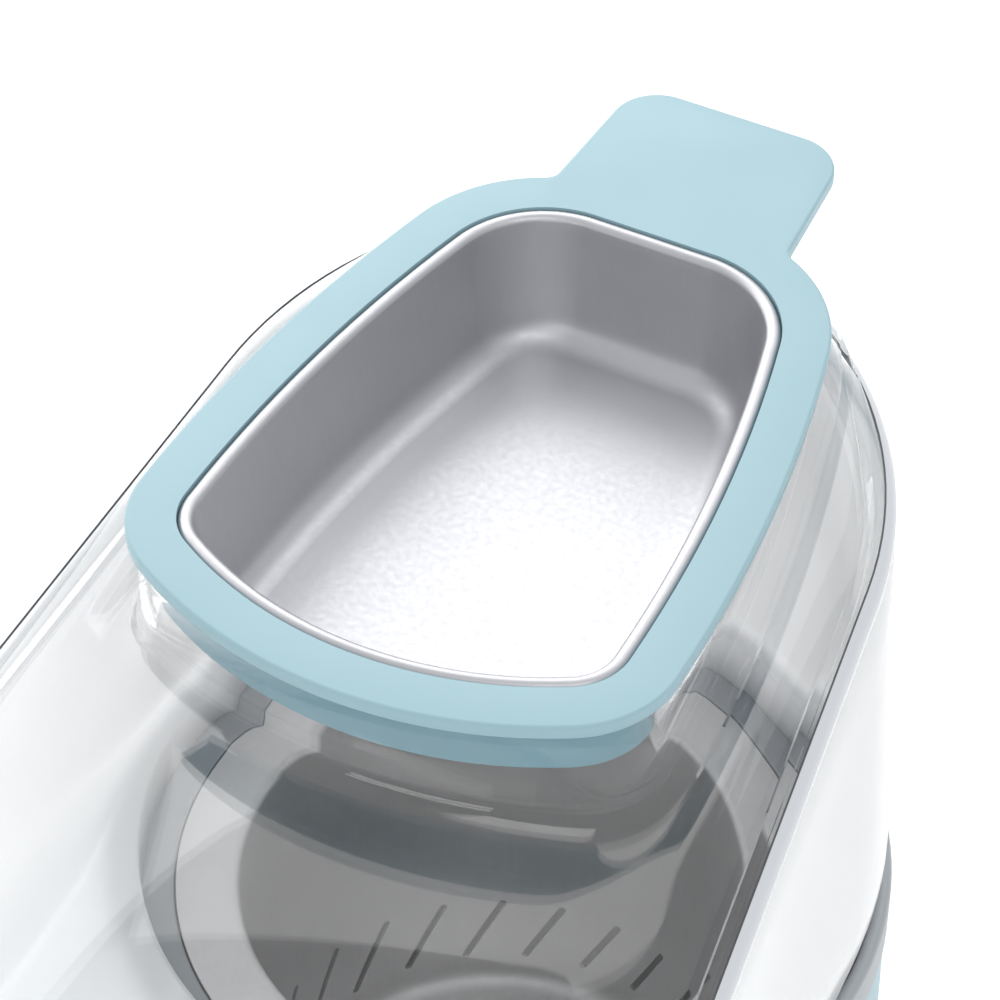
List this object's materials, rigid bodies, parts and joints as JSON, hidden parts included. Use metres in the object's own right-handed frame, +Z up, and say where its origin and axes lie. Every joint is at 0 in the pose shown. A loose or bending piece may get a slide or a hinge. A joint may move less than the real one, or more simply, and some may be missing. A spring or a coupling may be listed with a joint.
{
  "type": "hot-air popcorn maker",
  "caption": "Countertop hot-air popcorn maker: round fan base with louvred chamber, lift-off chute with clear top, and a lift-out butter cup in its collar.",
  "frame": {"origin": "on the base's round axis, at the level of the surface that the rubber feet stand on", "axes": "+Z up, -Y towards the mouth, +X to the side that carries the rocker switch"},
  "size_m": [0.164, 0.2495, 0.31],
  "materials": {
    "blue_plastic": "satin moulded plastic, pale blue",
    "white_plastic": "gloss moulded plastic, white",
    "clear_plastic": "clear moulded polycarbonate",
    "grey_plastic": "satin moulded plastic, light grey",
    "dark_plastic": "heat-proof moulded plastic, near black",
    "tray_metal": "drawn aluminium, satin",
    "chamber_metal": "drawn aluminium, satin",
    "sheet_steel": "zinc-plated sheet",
    "screw_steel": "zinc-plated",
    "heating_wire": "oxidised resistance wire",
    "rubber": "matte",
    "mica": "pressed mica board",
    "white_ceramic": "glazed sleeve",
    "copper": "bare copper alloy",
    "bronze": "sintered bronze",
    "magnet": "sintered ferrite",
    "winding": "varnished copper winding",
    "green_board": "glass-epoxy board",
    "white_nylon": "moulded nylon"
  },
  "bodies": {
    "base": {"housing": "blue_plastic", "rim_ring": "grey_plastic", "base_plate": "grey_plastic", "feet": "rubber", "base_screws": "screw_steel", "chamber_carrier": "dark_plastic", "carrier_screws": "screw_steel", "popping_chamber": "chamber_metal", "air_duct": "sheet_steel", "duct_screws": "screw_steel", "fan_housing": "dark_plastic", "heater_spider": "sheet_steel", "mica_board_a": "mica", "mica_board_b": "mica", "heater_coil": "heating_wire", "thermostat": "sheet_steel", "thermal_fuse": "white_ceramic", "motor_can": "sheet_steel", "motor_end_cap": "dark_plastic", "motor_magnets": "magnet", "motor_brushes": "copper", "motor_bushes": "bronze", "motor_screws": "screw_steel", "rectifier_board": "green_board", "switch_case": "dark_plastic", "switch_terminals": "copper", "cord_gland": "dark_plastic", "gland_nut": "dark_plastic"},
    "fan": {"motor_shaft": "screw_steel", "motor_armature": "winding", "commutator": "copper", "impeller": "white_nylon"},
    "rocker": {"switch_rocker": "dark_plastic"},
    "chute": {"chute_body": "white_plastic", "chute_window": "clear_plastic"},
    "butter_cup": {"cup_frame": "blue_plastic", "cup_tray": "tray_metal"}
  },
  "joints": [
    {"name": "fan_spin", "type": "hinge", "parent": "base", "child": "fan", "pos_m": [0, 0, 0.07], "axis": [0, 0, 1], "continuous": true},
    {"name": "switch_rock", "type": "hinge", "parent": "base", "child": "rocker", "pos_m": [0.07496, 0, 0.04], "axis": [0, 1, 0], "range_deg": [0, 24]},
    {"name": "chute_lift", "type": "slide", "parent": "base", "child": "chute", "axis": [0, 0, 1], "range_m": [0, 0.06]},
    {"name": "cup_lift", "type": "slide", "parent": "chute", "child": "butter_cup", "axis": [0, 0, 1], "range_m": [0, 0.045]}
  ]
}
